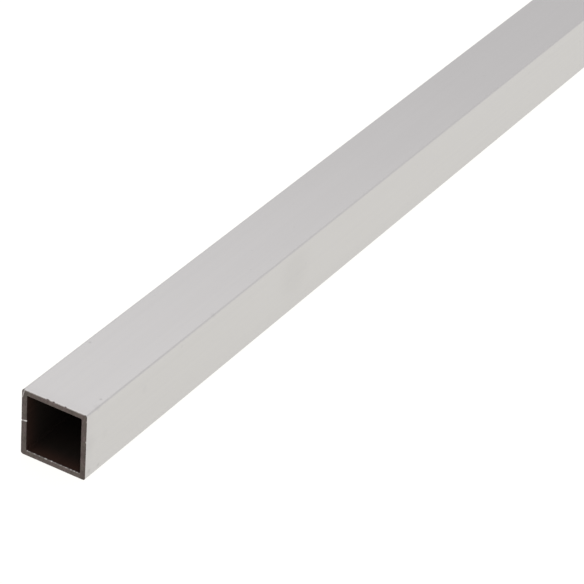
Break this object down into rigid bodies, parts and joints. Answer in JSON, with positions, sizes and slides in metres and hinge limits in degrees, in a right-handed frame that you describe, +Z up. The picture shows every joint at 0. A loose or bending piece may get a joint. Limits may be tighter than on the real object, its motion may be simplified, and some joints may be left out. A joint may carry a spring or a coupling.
{
  "type": "square metal tube",
  "caption": "Straight square aluminium tube, 25 mm across flats with a 2 mm wall and a one-metre length, open right through and sawn square at both ends.",
  "frame": {"origin": "on the floor under the middle of the tube, which is the centre of the bottom of its box", "axes": "+Y along the tube's length, +Z up and square to the flat it does not rest on, +X square to a side flat"},
  "size_m": [0.025, 1, 0.025],
  "materials": {
    "silver_finish": "satin silver anodised outside, bare dark sawn ends and a dull bore"
  },
  "bodies": {
    "root": {"square_tube": "silver_finish"}
  },
  "joints": []
}
